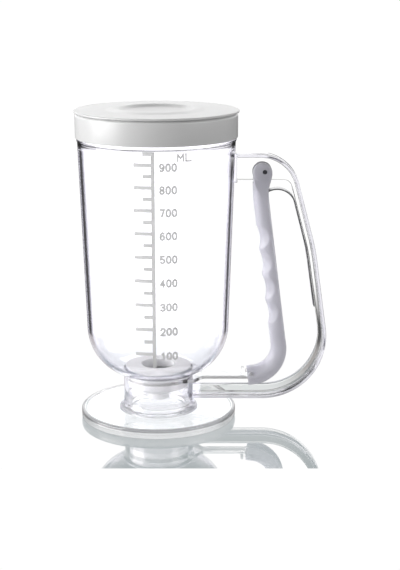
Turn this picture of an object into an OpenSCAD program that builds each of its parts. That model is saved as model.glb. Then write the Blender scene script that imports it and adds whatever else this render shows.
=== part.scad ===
// Pancake batter dispenser: a clear measuring jug on a drip stand. Squeezing
// the lever inside the handle draws a sliding gate out from under the valve
// hole in the bottom of the bowl, and a leaf spring pushes the lever back.
// +Z is up, +X points along the handle, and the front faces -Y. The origin is
// on the jug's axis, on the face that rests on the table.

/* [Stand] */
// Outer radius of the drip stand
stand_r = 51.6; // [45:0.1:65]
// Height of the stand's rim above the table
stand_h = 6.4; // [5:0.1:12]
// Thickness of the stand inside its rim, where the jug's foot stands
stand_floor = 5.4; // [3:0.1:6]
// Width of the low rim round the stand
stand_rim_w = 2.8; // [2:0.1:6]
// Rounding of the stand's outer edge
stand_edge_r = 1.4; // [0.5:0.1:2]
// Height of the ring that centres the jug's foot
hub_h = 3.2; // [2:0.1:5]
// Wall of the ring that centres the jug's foot
hub_t = 1.8; // [1:0.1:3]

/* [Jug] */
// Outer radius of the jug's wall under the rim band
body_r = 51.0; // [46:0.1:58]
// How much the jug's wall narrows from the rim band to the bowl
body_taper = 4.3; // [2:0.1:8]
// Height of the jug's mouth above the table
mouth_z = 201.5; // [190:0.5:230]
// Height above the table where the wall turns into the bowl
bowl_z = 62; // [58:0.5:68]
// Height of the quarter ellipse that the bowl's outside follows
bowl_drop = 33.5; // [32.5:0.1:40]
// Wall thickness of the jug
wall_t = 2.2; // [1.6:0.1:3]
// Height of the ledge in the bowl that carries the valve seat
ledge_z = 32.2; // [31:0.1:34]
// Outer radius of the hollow neck under the bowl
neck_r = 23.1; // [21:0.1:26]
// Wall thickness of the neck
neck_t = 2.5; // [1.6:0.1:3]
// Outer radius of the flared foot of the neck
foot_r = 26.3; // [25:0.1:32]
// Height of the flare at the foot of the neck
flare_h = 6.6; // [4:0.1:8]
// Height of the bead that the rim band sits on
bead_h = 2.0; // [1:0.1:4]
// How far the bead stands out of the wall
bead_out = 0.5; // [0.3:0.1:1]

/* [Rim band and lid] */
// How far the opaque rim band stands out of the jug's wall
band_wall = 1.4; // [1.2:0.1:3]
// Height of the rim band
band_h = 15.4; // [10:0.1:25]
// Rounding of the rim band's top shoulder
band_shoulder_r = 1.6; // [0.5:0.1:2]
// How far the band stands above the jug's mouth
band_over = 1.5; // [1:0.1:3]
// How far the lid's disc stands out beyond the rim band
lid_overhang = 0.9; // [0.4:0.1:3]
// Thickness of the lid's disc at its edge
lid_edge_t = 1.4; // [1:0.1:2]
// Gap between the lid's edge and the rim band
lid_gap = 0.6; // [0.3:0.1:1.2]
// Height of the raised finger ring on the lid
lid_ring_h = 1.2; // [0.6:0.1:2.5]
// Radius of the foot of the raised finger ring
lid_ring_r = 33; // [28:0.5:38]
// Depth of the dished middle below the lid's flat
lid_dish_d = 0.9; // [0.3:0.1:1.2]
// Radius of the dished middle of the lid
lid_dish_r = 20; // [12:0.5:24]
// Depth of the lid's plug below the band
plug_depth = 9.5; // [6:0.5:14]
// Wall thickness of the lid's plug
plug_t = 1.6; // [1:0.1:2.5]
// Running clearance round the lid's plug
plug_gap = 0.4; // [0.2:0.1:1]
// Height of the silicone ring on the lid's plug
lid_seal_h = 2.4; // [1.5:0.1:4]

/* [Valve] */
// Radius of the valve hole
hole_r = 11.1; // [8:0.1:12]
// Radius of the valve seat's visible flange
seat_r = 22.2; // [21.5:0.1:24]
// Gap between the valve seat's flange and the bowl's wall
seat_gap = 0.55; // [0.2:0.05:1.5]
// Thickness of the valve seat's flange at its rim
seat_rim_t = 0.9; // [0.6:0.1:1.5]
// Rise of the valve seat from its rim to the hole
seat_crown = 1.1; // [0.3:0.1:2]
// Thickness of the gasket under the valve seat's flange
gasket_t = 0.7; // [0.4:0.1:1]
// Thickness of the sliding gate
gate_t = 2.3; // [1.6:0.1:3]
// Height of the sliding gate's underside above the table
gate_z = 25.5; // [24:0.1:26]
// How far the gate's closed end laps over the valve hole
gate_lap = 1.9; // [1:0.1:2.2]
// Width of the strip that runs from the gate to the lever
strip_w = 9.0; // [6:0.1:9]
// Sliding clearance above and below the gate
gate_gap = 0.1; // [0.05:0.01:0.3]
// Section of the silicone ring above the gate
gate_seal_w = 2.2; // [1.5:0.1:3]
// Radius of the nozzle's bore
nozzle_bore_r = 5.2; // [4:0.1:8]
// Outer radius of the nozzle's tip
nozzle_tip_r = 7.2; // [6.5:0.1:9.5]
// Height of the nozzle's tip above the table
nozzle_tip_z = 12; // [9:0.1:14]

/* [Handle] */
// Distance from the jug's axis to the outermost point of the handle's back
handle_reach = 111.7; // [108:0.1:125]
// Height of the handle's top above the table
handle_top_z = 176.8; // [168:0.5:178]
// Height of the handle's underside above the table
handle_bottom_z = 12.3; // [11.5:0.1:13]
// Rounding of the handle's upper corner
handle_top_r = 26; // [20:0.5:30]
// Rounding of the handle's lower corner
handle_low_r = 42.6; // [38:0.1:46]
// Angle of the handle's upper limb below the horizontal
limb_high_angle = 75.2; // [73:0.1:79]
// Angle of the handle's lower limb below the horizontal
limb_low_angle = 81.75; // [80:0.05:84]
// Height at which the handle's limb bends
limb_bend_z = 114.2; // [100:0.5:125]
// Width of the handle's outer flange
flange_w = 12; // [10:0.5:14]
// Thickness of the handle's outer flange
flange_t = 2.0; // [1.5:0.1:3]
// Thickness of the handle's central web
web_t = 4.0; // [3:0.1:5]
// Depth of the handle's section along its limb
limb_depth = 5.2; // [4.5:0.1:6]
// Depth of the handle's section at the top, where the lever is pinned
top_depth = 17.2; // [16:0.1:18]
// Depth of the handle's section along the bottom
bottom_depth = 9.0; // [7:0.1:9.5]
// Thickness of the handle's root pad on the jug's wall
pad_t = 1.8; // [1.2:0.1:4]

/* [Lever] */
// Distance from the jug's axis to the lever's hinge pin
pin_x = 69.7; // [68.5:0.1:72]
// Distance from the handle's top down to the lever's hinge pin
pin_drop = 11.4; // [10:0.1:12]
// Radius of the hinge pin
pin_r = 1.5; // [1:0.1:2]
// Running clearance of the hinge pin in the handle
pin_gap = 0.06; // [0.02:0.01:0.1]
// Width of the lever
lever_w = 13; // [12.6:0.1:16]
// Wall thickness of the lever
lever_t = 1.6; // [1.2:0.1:1.7]
// Radius of the lever's head
lever_head_r = 6.4; // [5.5:0.1:6.8]
// Depth of the lever from back to front edge along its grip
lever_depth = 10.0; // [9:0.1:11]
// Depth of the lever from back to front edge at its end
lever_end_depth = 11.8; // [11:0.1:12.4]
// Distance from the lever's middle line to its back
lever_back = 5.3; // [5:0.1:5.6]
// Rounding of the curve at the lever's lower end
lever_bend_r = 19; // [14:0.5:22]
// How far the lever's flank is rounded from back to side
lever_round = 3.4; // [2:0.1:4]
// Number of finger grooves
groove_count = 4; // [2:1:5]
// Distance from one finger groove to the next
groove_pitch = 17.4; // [14:0.1:18]
// Depth of each finger groove
groove_depth = 1.7; // [0.5:0.1:2.2]
// Radius of the pin that joins the lever to the gate's strip
link_r = 1.25; // [0.8:0.05:1.4]
// Thickness of the leaf spring
spring_t = 0.9; // [0.5:0.1:1.2]
// Width of the leaf spring
spring_w = 8.3; // [5:0.1:8.8]

/* [Measuring scale] */
// Height of the 100 mark above the table
scale_first_z = 55.4; // [50:0.1:60]
// Height of the 900 mark above the table
scale_last_z = 176.6; // [160:0.1:180]
// Height of the lower end of the scale's upright line
scale_line_z = 45; // [42:0.5:52]
// Length of the long marks
long_mark = 11.2; // [6:0.1:14]
// Length of the short marks
short_mark = 5.4; // [3:0.1:8]
// Width of each printed line
mark_w = 1.6; // [0.8:0.1:2.4]
// Thickness of the print
print_t = 0.15; // [0.1:0.05:0.4]

/* [Hidden] */

CLEAR = [0.86, 0.87, 0.92, 0.4];
WHITE = [0.93, 0.93, 0.94];
PALE_GREY = [0.80, 0.80, 0.81];
SILICONE = [0.87, 0.88, 0.89];
LEVER_WHITE = [0.80, 0.80, 0.86];
STEEL = [0.42, 0.42, 0.44];

fine = 144;              // segments of a large turned part
e = 0.01;                // overlap that joins or cuts cleanly
cut = 1;                 // how far a cutting shape runs past the face it cuts

// ---- plane geometry ----

function unit(v) = v / norm(v);

// A point of a circle about c, at an angle from the first axis.
function on_circle(c, r, a) = c + r * [cos(a), sin(a)];

// Half of the inside angle at b.
function half_angle(a, b, c) = acos(unit(a - b) * unit(c - b)) / 2;

// The corner b moved inwards, so that both of its sides move by t.
function inset_corner(a, b, c, t) =
    b + unit(unit(a - b) + unit(c - b)) * t / sin(half_angle(a, b, c));

// The difference of two directions, between -180 and 180 degrees.
function turn(from, to) = (to - from) - 360 * round((to - from) / 360);

// The rounded corner b, as points of an arc of radius r.
function corner_arc(a, b, c, r, steps) = let(
    centre = inset_corner(a, b, c, r),
    reach = r / tan(half_angle(a, b, c)),
    p = b + unit(a - b) * reach - centre,
    q = b + unit(c - b) * reach - centre,
    from = atan2(p.y, p.x),
    sweep = turn(from, atan2(q.y, q.x))
) [for (i = [0:steps]) on_circle(centre, r, from + sweep * i / steps)];

// A line of straight runs whose inner corners are rounded.
function rounded_line(pts, radii, steps = 20) = concat(
    [pts[0]],
    [for (i = [1:len(pts) - 2])
        each corner_arc(pts[i - 1], pts[i], pts[i + 1], radii[i - 1], steps)],
    [pts[len(pts) - 1]]);

function reversed(list) = [for (i = [len(list) - 1:-1:0]) list[i]];

function without_first(list) = [for (i = [1:len(list) - 1]) list[i]];

// The point at height z on the line through p in direction d.
function at_height(p, d, z) = p + d * (z - p.y) / d.y;

// ---- jug: radii and heights ----

foot_z = stand_floor;                    // the jug's foot stands inside the stand's rim
flare_z = 1.2;                           // upright edge at the bottom of the foot
band_top_z = mouth_z + band_over;
band_z = band_top_z - band_h;
bead_z = band_z - bead_h;
inner_top_r = body_r - wall_t;
body_low_r = body_r - body_taper;
band_r = body_r + band_wall;
lid_r = band_r + lid_overhang;
neck_bore_r = neck_r - neck_t;
wall_slope = body_taper / (bead_z - bowl_z);

function wall_r(z) = body_low_r + wall_slope * (z - bowl_z);

// The bowl is a quarter ellipse, placed so that the valve seat fits its ledge.
function bowl_angle(t, z) = asin((bowl_z - z) / (bowl_drop - t));
ledge_r = seat_r + seat_gap;
ledge_share = cos(bowl_angle(wall_t, ledge_z));
bowl_x = (ledge_r - ledge_share * (body_low_r - wall_t)) / (1 - ledge_share);

// Radius and height of the bowl's outside moved inwards by t, at an angle below its top.
function bowl_point(t, a) =
    [bowl_x + (body_low_r - t - bowl_x) * cos(a), bowl_z - (bowl_drop - t) * sin(a)];

// The part of that curve between two angles, from the bottom up.
function bowl_curve(t, low, high, steps) =
    [for (i = [0:steps]) bowl_point(t, low + (high - low) * i / steps)];

// Where the bowl's outside meets the neck
neck_angle = acos((neck_r - bowl_x) / (body_low_r - bowl_x));
ledge_angle = bowl_angle(0, ledge_z);

// The foot's flare, as a quarter of an ellipse, moved inwards by t.
function flare(t) = [for (a = [0:10:90])
    [foot_r - t - (foot_r - neck_r) * sin(a), foot_z + flare_z + flare_h * (1 - cos(a))]];

neck_outside = concat(
    [[foot_r, foot_z]], flare(0), bowl_curve(0, neck_angle, ledge_angle, 3));
neck_inside = concat(
    [[foot_r - neck_t, foot_z]], flare(neck_t), [[neck_bore_r, ledge_z], [ledge_r, ledge_z]]);
bowl_outside = bowl_curve(0, ledge_angle, 0, 16);
bowl_inside = bowl_curve(wall_t, bowl_angle(wall_t, ledge_z), 0, 16);
wall_outside = [
    [body_low_r, bowl_z], [body_r, bead_z], [body_r + bead_out, bead_z],
    [body_r + bead_out, band_z], [body_r, band_z], [body_r, mouth_z]];
wall_inside = [[body_low_r - wall_t, bowl_z], [inner_top_r, bead_z], [inner_top_r, mouth_z]];

// ---- valve heights ----

gate_top_z = gate_z + gate_t;
seat_under_z = gate_top_z + gate_gap;
guide_z = gate_z - gate_gap;             // top of the nozzle, which the gate slides on
flange_z = ledge_z + gasket_t;
gate_half_w = hole_r + gate_lap;
guide_gap = 0.2;                         // clearance beside the gate
valve_fit = 0.2;                         // clearance of the valve's parts in the neck
seat_skirt_r = neck_bore_r - valve_fit;
nozzle_r = seat_skirt_r - 0.6;
seal_r = hole_r + 0.8;                   // inner radius of the silicone ring above the gate
seal_h = 1.3;

// ---- lever and gate travel ----

web_top_z = handle_top_z - top_depth;    // lower edge of the web where the lever is pinned
hinge = [pin_x, handle_top_z - pin_drop];
lever_head = hinge + [-1.5, -0.5];
strip_mid_z = gate_z + gate_t / 2;
// The lever's end runs square to its grip, over the gate's strip
lever_end = [pin_x - 10.1, strip_mid_z + 1.7];
grip_lean = 7.3;                         // lean of the grip from the vertical
end_dir = [cos(grip_lean), sin(grip_lean)];
grip_dir = [sin(grip_lean), -cos(grip_lean)];
// Middle of the lever where its grip begins, below the head
grip_top = lever_head + [-1.0, -12.9];
// Corner where the lines of the grip and of the lever's end meet
lever_corner = grip_top + grip_dir * ((lever_end - grip_top) * grip_dir);
link = [lever_end.x + 2.0, strip_mid_z + 2.75];

fork_z = web_top_z - 1.8;                // the lever's back stays below this
cheek_gap = 0.3;                         // clearance between the lever's cheeks and the boss
channel_half_w = lever_w / 2 - lever_t;
boss_r = 4.5;

// ---- handle outline ----

low_dir = [cos(limb_low_angle), -sin(limb_low_angle)];
high_dir = [cos(limb_high_angle), -sin(limb_high_angle)];
// The lower limb's line leaves the lower corner's arc at its tangent
low_arc_c = [handle_reach - handle_low_r, handle_bottom_z + handle_low_r];
low_tangent = on_circle(low_arc_c, handle_low_r, 90 - limb_low_angle);
limb_bend = at_height(low_tangent, low_dir, limb_bend_z);
limb_bend_r = 150;
handle_root_x = neck_bore_r;             // where both limbs start, inside the jug's outline
outer_line = [
    [handle_root_x, handle_top_z],
    at_height(limb_bend, high_dir, handle_top_z),
    limb_bend,
    at_height(limb_bend, low_dir, handle_bottom_z),
    [handle_root_x, handle_bottom_z]];
outer_radii = [handle_top_r, limb_bend_r, handle_low_r];

// The outline moved inwards by t.
function inset_line(t) = [
    outer_line[0] - [0, t],
    for (i = [1:3]) inset_corner(outer_line[i - 1], outer_line[i], outer_line[i + 1], t),
    outer_line[4] + [0, t]];

web_low_z = handle_bottom_z + bottom_depth;
inner_bend = inset_line(limb_depth)[2];
inner_line = [
    [handle_root_x, web_top_z],
    at_height(inner_bend, high_dir, web_top_z),
    inner_bend,
    at_height(inner_bend, low_dir, web_low_z),
    [handle_root_x, web_low_z]];
inner_radii = [5, limb_bend_r - limb_depth, handle_low_r - 6.7];

flange_outline = concat(
    rounded_line(outer_line, outer_radii),
    reversed(rounded_line(inset_line(flange_t),
        [for (r = outer_radii) r - flange_t])));
web_outline = concat(
    rounded_line(inset_line(flange_t - e), [for (r = outer_radii) r - flange_t + e]),
    reversed(rounded_line(inner_line, inner_radii)));

// ---- shared shapes ----

// A shape drawn in the plane of the handle, centred on that plane.
module in_handle_plane(width) {
    rotate([90, 0, 0]) linear_extrude(width, center = true) children();
}

// A round bar across the plane of the handle.
module cross_bar(at, r, length) {
    translate([at.x, 0, at.y]) rotate([90, 0, 0]) cylinder(r = r, h = length, center = true, $fn = 48);
}

module ring(r_out, r_in, z, h) {
    translate([0, 0, z]) difference() {
        cylinder(r = r_out, h = h, $fn = fine);
        translate([0, 0, -cut]) cylinder(r = r_in, h = h + 2 * cut, $fn = fine);
    }
}

// The jug's outer form as a solid, for fitting what is joined to it.
module jug_core() {
    rotate_extrude($fn = fine) polygon(concat(
        [[0, foot_z]], neck_outside, without_first(bowl_outside), without_first(wall_outside),
        [[0, mouth_z]]));
}

// ---- stand ----

hub_r = neck_bore_r - 0.4;               // the ring stands loosely inside the jug's neck
recess_r = stand_r - stand_rim_w;

module stand() {
    color(CLEAR) rotate_extrude($fn = fine) polygon(concat(
        [[0, 0], [stand_r - stand_edge_r / 2, 0], [stand_r, stand_edge_r / 2]],
        [for (a = [0:15:90])
            on_circle([stand_r - stand_edge_r, stand_h - stand_edge_r], stand_edge_r, a)],
        [[recess_r, stand_h], [recess_r - (stand_h - stand_floor) / 2, stand_floor],
         [hub_r, stand_floor], [hub_r, stand_floor + hub_h], [hub_r - hub_t, stand_floor + hub_h],
         [hub_r - hub_t, stand_floor], [0, stand_floor]]));
}

// ---- jug ----

// The way through the neck's wall for the gate, on the handle's side.
module gate_slot() {
    half_w = gate_half_w + guide_gap;
    translate([0, -half_w, guide_z])
        cube([neck_r + 5, 2 * half_w, gate_t + 2 * gate_gap]);
}

// One turned part of the jug, which is a single moulding from mouth to foot.
module jug_part(outside, inside) {
    color(CLEAR) rotate_extrude($fn = fine) polygon(concat(outside, reversed(inside)));
}

module jug() {
    jug_part(wall_outside, wall_inside);
}

module bowl() {
    jug_part(bowl_outside, bowl_inside);
}

module neck() {
    difference() {
        jug_part(neck_outside, neck_inside);
        gate_slot();
    }
}

// ---- rim band and lid ----

band_lip_in = inner_top_r;

module rim_band() {
    edge_c = [band_r - band_shoulder_r, band_top_z - band_shoulder_r];
    color(WHITE) rotate_extrude($fn = fine) polygon(concat(
        [[body_r, band_z], [band_r - 0.4, band_z]],
        [for (a = [0:15:90]) on_circle(edge_c, band_shoulder_r, a)],
        [[band_lip_in, band_top_z], [band_lip_in, mouth_z], [body_r, mouth_z]]));
}

lid_flat_z = band_top_z + lid_gap + lid_edge_t;
plug_r = band_lip_in - plug_gap;
plug_z = band_top_z - plug_depth;
lid_under_z = lid_flat_z - lid_dish_d - 1.6;
seal_groove_d = 0.8;
lid_seal_z = plug_z + 2.2;

ring_crest_r = lid_ring_r - 5.5;         // outer edge of the finger ring's flat crest
ring_inner_r = ring_crest_r - 2;

// A smooth rise from 0 to 1.
function blend(t) = (1 - cos(180 * t)) / 2;

// The lid's upper face from the dished middle to the foot of its ring
lid_top = concat(
    [for (t = [0:0.125:1])
        [lid_dish_r + (ring_inner_r - lid_dish_r) * t,
         lid_flat_z - lid_dish_d + (lid_dish_d + lid_ring_h) * blend(t)]],
    [[ring_crest_r, lid_flat_z + lid_ring_h]],
    [for (t = [0.125:0.125:1])
        [ring_crest_r + (lid_ring_r - ring_crest_r) * t,
         lid_flat_z + lid_ring_h * (1 - blend(t))]]);

module lid() {
    edge_c = [lid_r - lid_edge_t / 2, lid_flat_z - lid_edge_t / 2];
    rest_in_r = band_lip_in + 0.6;
    rest_out_r = band_r - band_shoulder_r;
    color(WHITE) rotate_extrude($fn = fine) polygon(concat(
        [[0, lid_under_z], [plug_r - plug_t, lid_under_z], [plug_r - plug_t, plug_z],
         [plug_r - 0.5, plug_z], [plug_r, plug_z + 0.5],
         [plug_r, lid_seal_z], [plug_r - seal_groove_d, lid_seal_z],
         [plug_r - seal_groove_d, lid_seal_z + lid_seal_h], [plug_r, lid_seal_z + lid_seal_h],
         [plug_r, band_top_z + lid_gap / 2], [rest_in_r, band_top_z], [rest_out_r, band_top_z],
         [rest_out_r, band_top_z + lid_gap]],
        [for (a = [-90:18:90]) on_circle(edge_c, lid_edge_t / 2, a)],
        reversed(lid_top), [[0, lid_flat_z - lid_dish_d]]));
}

module lid_seal() {
    color(SILICONE) ring(plug_r + plug_gap / 2, plug_r - seal_groove_d, lid_seal_z, lid_seal_h);
}

// ---- valve ----

module seat_gasket() {
    color(SILICONE) ring(seat_r - 0.4, neck_bore_r, ledge_z, gasket_t);
}

module valve_seat() {
    rim_z = flange_z + seat_rim_t;
    color(PALE_GREY) difference() {
        rotate_extrude($fn = fine) polygon([
            [hole_r, seat_under_z], [seat_skirt_r, seat_under_z], [seat_skirt_r, flange_z],
            [seat_r, flange_z], [seat_r, rim_z - 0.3], [seat_r - 0.3, rim_z],
            [hole_r + 0.6, rim_z + seat_crown], [hole_r, rim_z + seat_crown - 0.6]]);
        ring(seal_r + gate_seal_w, seal_r, seat_under_z - cut, cut + seal_h);
    }
}

module gate_seal() {
    color(SILICONE) ring(seal_r + gate_seal_w, seal_r, seat_under_z, seal_h);
}

// Height at which the nozzle narrows to its tip
nozzle_disc_z = guide_z - 3.9;
nozzle_neck_z = nozzle_disc_z - 3.7;
guide_t = 2.4;

module nozzle() {
    guide_in = gate_half_w + guide_gap;
    color(PALE_GREY) {
        rotate_extrude($fn = fine) polygon([
            [nozzle_bore_r, nozzle_tip_z], [nozzle_tip_r - 0.4, nozzle_tip_z],
            [nozzle_tip_r, nozzle_tip_z + 0.4], [nozzle_tip_r, nozzle_neck_z],
            [hole_r + 0.7, nozzle_neck_z], [nozzle_r, nozzle_disc_z],
            [nozzle_r, guide_z], [hole_r, guide_z], [nozzle_bore_r, nozzle_neck_z]]);
        // The rails beside the gate and the stop behind it
        translate([0, 0, guide_z - e]) linear_extrude(seat_under_z - guide_z + e) difference() {
            circle(r = guide_in + guide_t, $fn = fine);
            circle(r = guide_in, $fn = fine);
            translate([0, -guide_in]) square([nozzle_r + cut, 2 * guide_in]);
        }
    }
}

shoulder_x = neck_r + 0.9;
shoulder_run = 5.5;

module gate_slide() {
    prong_t = 1.75;
    prong_gap = 2 * link_r + 0.3;
    prong_top_z = link.y + 1.0;
    tab_x = link.x - 6.0;
    tab_t = 1.8;
    tab_w = 4.2;
    tab_h = 5.0;
    color(CLEAR) difference() {
        union() {
            translate([0, 0, gate_z]) linear_extrude(gate_t) union() {
                circle(r = gate_half_w, $fn = fine);
                polygon([
                    [0, -gate_half_w], [shoulder_x, -gate_half_w],
                    [shoulder_x + shoulder_run, -strip_w / 2], [link.x - 1.4, -strip_w / 2],
                    [link.x - 1.4, strip_w / 2], [shoulder_x + shoulder_run, strip_w / 2],
                    [shoulder_x, gate_half_w], [0, gate_half_w]]);
            }
            // Hook at the strip's end, which holds the link pin
            translate([link.x - prong_gap / 2 - prong_t, -strip_w / 2, gate_z + 1.5])
                cube([prong_gap + 2 * prong_t, strip_w, prong_top_z - gate_z - 1.5]);
            // Finger tab in front of the hook, with its gusset
            translate([tab_x, -tab_w / 2, gate_top_z - e]) cube([tab_t, tab_w, tab_h]);
            in_handle_plane(1.2) polygon([
                [tab_x - 2.4, gate_top_z - e], [tab_x + e, gate_top_z - e],
                [tab_x + e, gate_top_z + 2.4]]);
        }
        // The open slot between the hook's prongs
        translate([link.x - prong_gap / 2, -strip_w / 2 - cut, link.y - link_r - 0.4])
            cube([prong_gap, strip_w + 2 * cut, prong_top_z]);
    }
}

// ---- handle ----

module handle_frame() {
    pad_h = top_depth + 1.4;
    color(CLEAR) difference() {
        union() {
            difference() {
                union() {
                    in_handle_plane(flange_w) polygon(flange_outline);
                    in_handle_plane(web_t) polygon(web_outline);
                }
                jug_core();
            }
            cross_bar(hinge, boss_r, 2 * (channel_half_w - cheek_gap));
            // Root pad, which follows the jug's wall
            intersection() {
                translate([0, -flange_w / 2, handle_top_z - pad_h])
                    cube([body_r + pad_t, flange_w, pad_h]);
                difference() {
                    cylinder(r = wall_r(handle_top_z - pad_h / 2) + pad_t, h = mouth_z, $fn = fine);
                    jug_core();
                }
            }
        }
        cross_bar(hinge, pin_r + pin_gap, lever_w);
    }
}

// ---- lever ----

// The lever's middle line: the straight grip, a quarter circle, and the straight end
bend_start = lever_corner - grip_dir * lever_bend_r;
bend_end = lever_corner - end_dir * lever_bend_r;
bend_c = bend_start - end_dir * lever_bend_r;
grip_length = norm(bend_start - grip_top);
bend_length = PI * lever_bend_r / 2;
end_length = norm(lever_end - bend_end);
lever_length = grip_length + bend_length + end_length;

// The point that lies off the middle line by t towards the lever's back, at distance s.
function lever_at(s, t) =
    s <= grip_length ? grip_top + grip_dir * s - end_dir * t :
    s <= grip_length + bend_length ?
        on_circle(bend_c, lever_bend_r - t, grip_lean - 90 * (s - grip_length) / bend_length) :
    bend_end - end_dir * (s - grip_length - bend_length) - grip_dir * t;

// Distance from the middle line to the front edge, which grows over the last part of the lever.
end_growth = 40;
function front_depth(s) = lever_depth - lever_back
    + (lever_end_depth - lever_depth) * blend(max(0, 1 - (lever_length - s) / end_growth));

// Distance from the middle line to the channel's floor, which is thicker behind the grooves.
groove_start = 20.4;                     // from the start of the grip to the first ridge
groove_end = groove_start + groove_count * groove_pitch;
function floor_depth(s) = lever_back - lever_t - 0.7
    - (s > groove_start - 3 && s < groove_end ? groove_depth / 2 : 0);

// The lever's D-shaped section: x towards the back, y across.
module lever_section() {
    flank = [for (a = [-90:15:90])
        [lever_back - lever_round * (1 - cos(a)), lever_w / 2 * sin(a)]];
    front = -lever_end_depth + lever_back - cut;
    polygon(concat([[front, -lever_w / 2]], flank, [[front, lever_w / 2]]));
}

// A straight run of the lever's section from p, in a direction tilted from the vertical.
module lever_run(p, tilt, length) {
    translate([p.x, 0, p.y]) rotate([0, tilt, 0]) linear_extrude(length) lever_section();
}

module lever_bend() {
    translate([bend_c.x, 0, bend_c.y]) rotate([90, 0, 0]) rotate(grip_lean - 90)
        rotate_extrude(angle = 90, $fn = fine)
            translate([lever_bend_r, 0]) mirror([1, 0]) lever_section();
}

// Blocks inside the section that join two runs of it, at distance s.
module lever_joint(s) {
    reach = 2;
    for (block = [[lever_w - 0.6, 0.8 * lever_round], [lever_w - 5, 0.35 * lever_round]])
        in_handle_plane(block[0]) polygon([
            for (side = [-1, 1]) lever_at(s + side * reach, lever_back - block[1]),
            for (side = [1, -1]) lever_at(s + side * reach, lever_back - lever_end_depth)]);
}

// One finger groove. It falls quickly and rises slowly.
module finger_groove(start) {
    steps = 10;
    in_handle_plane(lever_w + 2 * cut) polygon(concat(
        [lever_at(start, lever_back + cut)],
        [for (i = [0:steps]) let(u = i / steps)
            lever_at(start + groove_pitch * u, lever_back - groove_depth * sin(180 * pow(u, 0.55)))],
        [lever_at(start + groove_pitch, lever_back + cut)]));
}

// The head and the stem below it, square-edged, down to where the grip is full size
module lever_head_piece() {
    in_handle_plane(lever_w) union() {
        translate(lever_head) circle(r = lever_head_r, $fn = fine);
        polygon([
            lever_head - [lever_head_r, 0], lever_at(-3, lever_back - 0.6),
            lever_at(0, lever_back - 0.4), lever_at(6, lever_back - lever_round),
            lever_at(6, lever_back - lever_depth), lever_at(-3, lever_back - lever_depth + 0.3),
            lever_head + [lever_head_r - 0.1, -1]]);
    }
}

module lever() {
    stations = 48;
    steps = [for (i = [0:stations]) lever_length * i / stations];
    outer = 14;                          // beyond the lever's front edge
    channel_top = -14;                   // inside the head, above the start of the grip
    color(LEVER_WHITE) difference() {
        union() {
            difference() {
                union() {
                    lever_run(grip_top, 180 - grip_lean, grip_length);
                    lever_bend();
                    lever_run(bend_end, -90 - grip_lean, end_length);
                    lever_joint(grip_length);
                    lever_joint(grip_length + bend_length);
                }
                in_handle_plane(lever_w + 2 * cut) polygon(concat(
                    [for (s = steps) lever_at(s, -front_depth(s))],
                    [for (s = reversed(steps)) lever_at(s, -outer)]));
                for (i = [0:groove_count - 1])
                    finger_groove(groove_start + i * groove_pitch);
            }
            lever_head_piece();
        }
        // The channel, open to the front and at the lever's end
        in_handle_plane(2 * channel_half_w) polygon(concat(
            [lever_at(channel_top, floor_depth(0) - 0.6)],
            [for (s = steps) lever_at(s, floor_depth(s))],
            [lever_at(lever_length + cut, floor_depth(lever_length)),
             lever_at(lever_length + cut, -outer)],
            [for (s = reversed(steps)) lever_at(s, -outer)],
            [lever_at(channel_top, -outer)]));
        // The fork that takes the handle's web
        translate([0, -channel_half_w, fork_z])
            cube([handle_reach, 2 * channel_half_w, handle_top_z - fork_z]);
        cross_bar(hinge, pin_r, lever_w + 2 * cut);
        cross_bar(link, link_r, lever_w + 2 * cut);
    }
}

// ---- leaf spring ----

spring_gap = 0.05;                       // between the spring's leg and the web's edge
spring_leg = inset_line(limb_depth + spring_gap + spring_t / 2);
spring_arch_r = 12;
arch_lean = 37;                          // slope of the arch's far side below the horizontal
arch_dir = [-cos(arch_lean), -sin(arch_lean)];
hook = hinge + [-3.6, -17.4];            // where the spring reaches into the lever
arch_corner = let(t = ((hook - spring_leg[2]) * [high_dir.y, -high_dir.x])
        / (arch_dir * [high_dir.y, -high_dir.x])) hook - arch_dir * t;
spring_tip_z = 75.6;
spring_line = rounded_line(
    [at_height(spring_leg[2], low_dir, spring_tip_z), spring_leg[2], arch_corner, hook,
     hook + [-0.6, -2.2]],
    [limb_bend_r, spring_arch_r, 1]);

// The outline of a strip of thickness t along a line of points.
function strip_side(pts, t) = [for (i = [0:len(pts) - 1]) let(
    d = unit(pts[min(i + 1, len(pts) - 1)] - pts[max(i - 1, 0)]))
    pts[i] + [d.y, -d.x] * t];

module leaf_spring() {
    color(STEEL) in_handle_plane(spring_w)
        polygon(concat(strip_side(spring_line, spring_t / 2),
            reversed(strip_side(spring_line, -spring_t / 2))));
}

// ---- measuring scale ----

first_mark = 2;                          // the 100 mark, in steps of 50 millilitres
last_mark = 18;                          // the 900 mark
top_mark = 19;
first_in_r = wall_r(scale_first_z) - wall_t;
last_in_r = wall_r(scale_last_z) - wall_t;

// Height of a mark, so that each step holds the same share of the volume in the jug's taper.
function mark_z(i) = scale_first_z + (pow(
    pow(first_in_r, 3) + (pow(last_in_r, 3) - pow(first_in_r, 3))
        * (i - first_mark) / (last_mark - first_mark), 1 / 3) - first_in_r) / wall_slope;

module measuring_scale() {
    top_z = mark_z(top_mark) + mark_w / 2;
    front = body_r + cut;
    color(WHITE) intersection() {
        difference() {
            rotate_extrude($fn = fine) polygon(concat(
                [[0, scale_line_z - cut]],
                bowl_curve(-print_t, bowl_angle(-print_t, scale_line_z - cut), 0, 8),
                [[body_r + print_t, bead_z], [0, bead_z]]));
            jug_core();
        }
        union() {
            translate([-mark_w, -front, scale_line_z]) cube([mark_w, front, top_z - scale_line_z]);
            for (i = [first_mark:top_mark]) let(
                length = i % 2 == 0 ? long_mark : short_mark)
                translate([-mark_w - length, -front, mark_z(i) - mark_w / 2])
                    cube([length + mark_w, front, mark_w]);
        }
    }
}

module hinge_pin() {
    color(STEEL) cross_bar(hinge, pin_r, lever_w);
}

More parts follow.
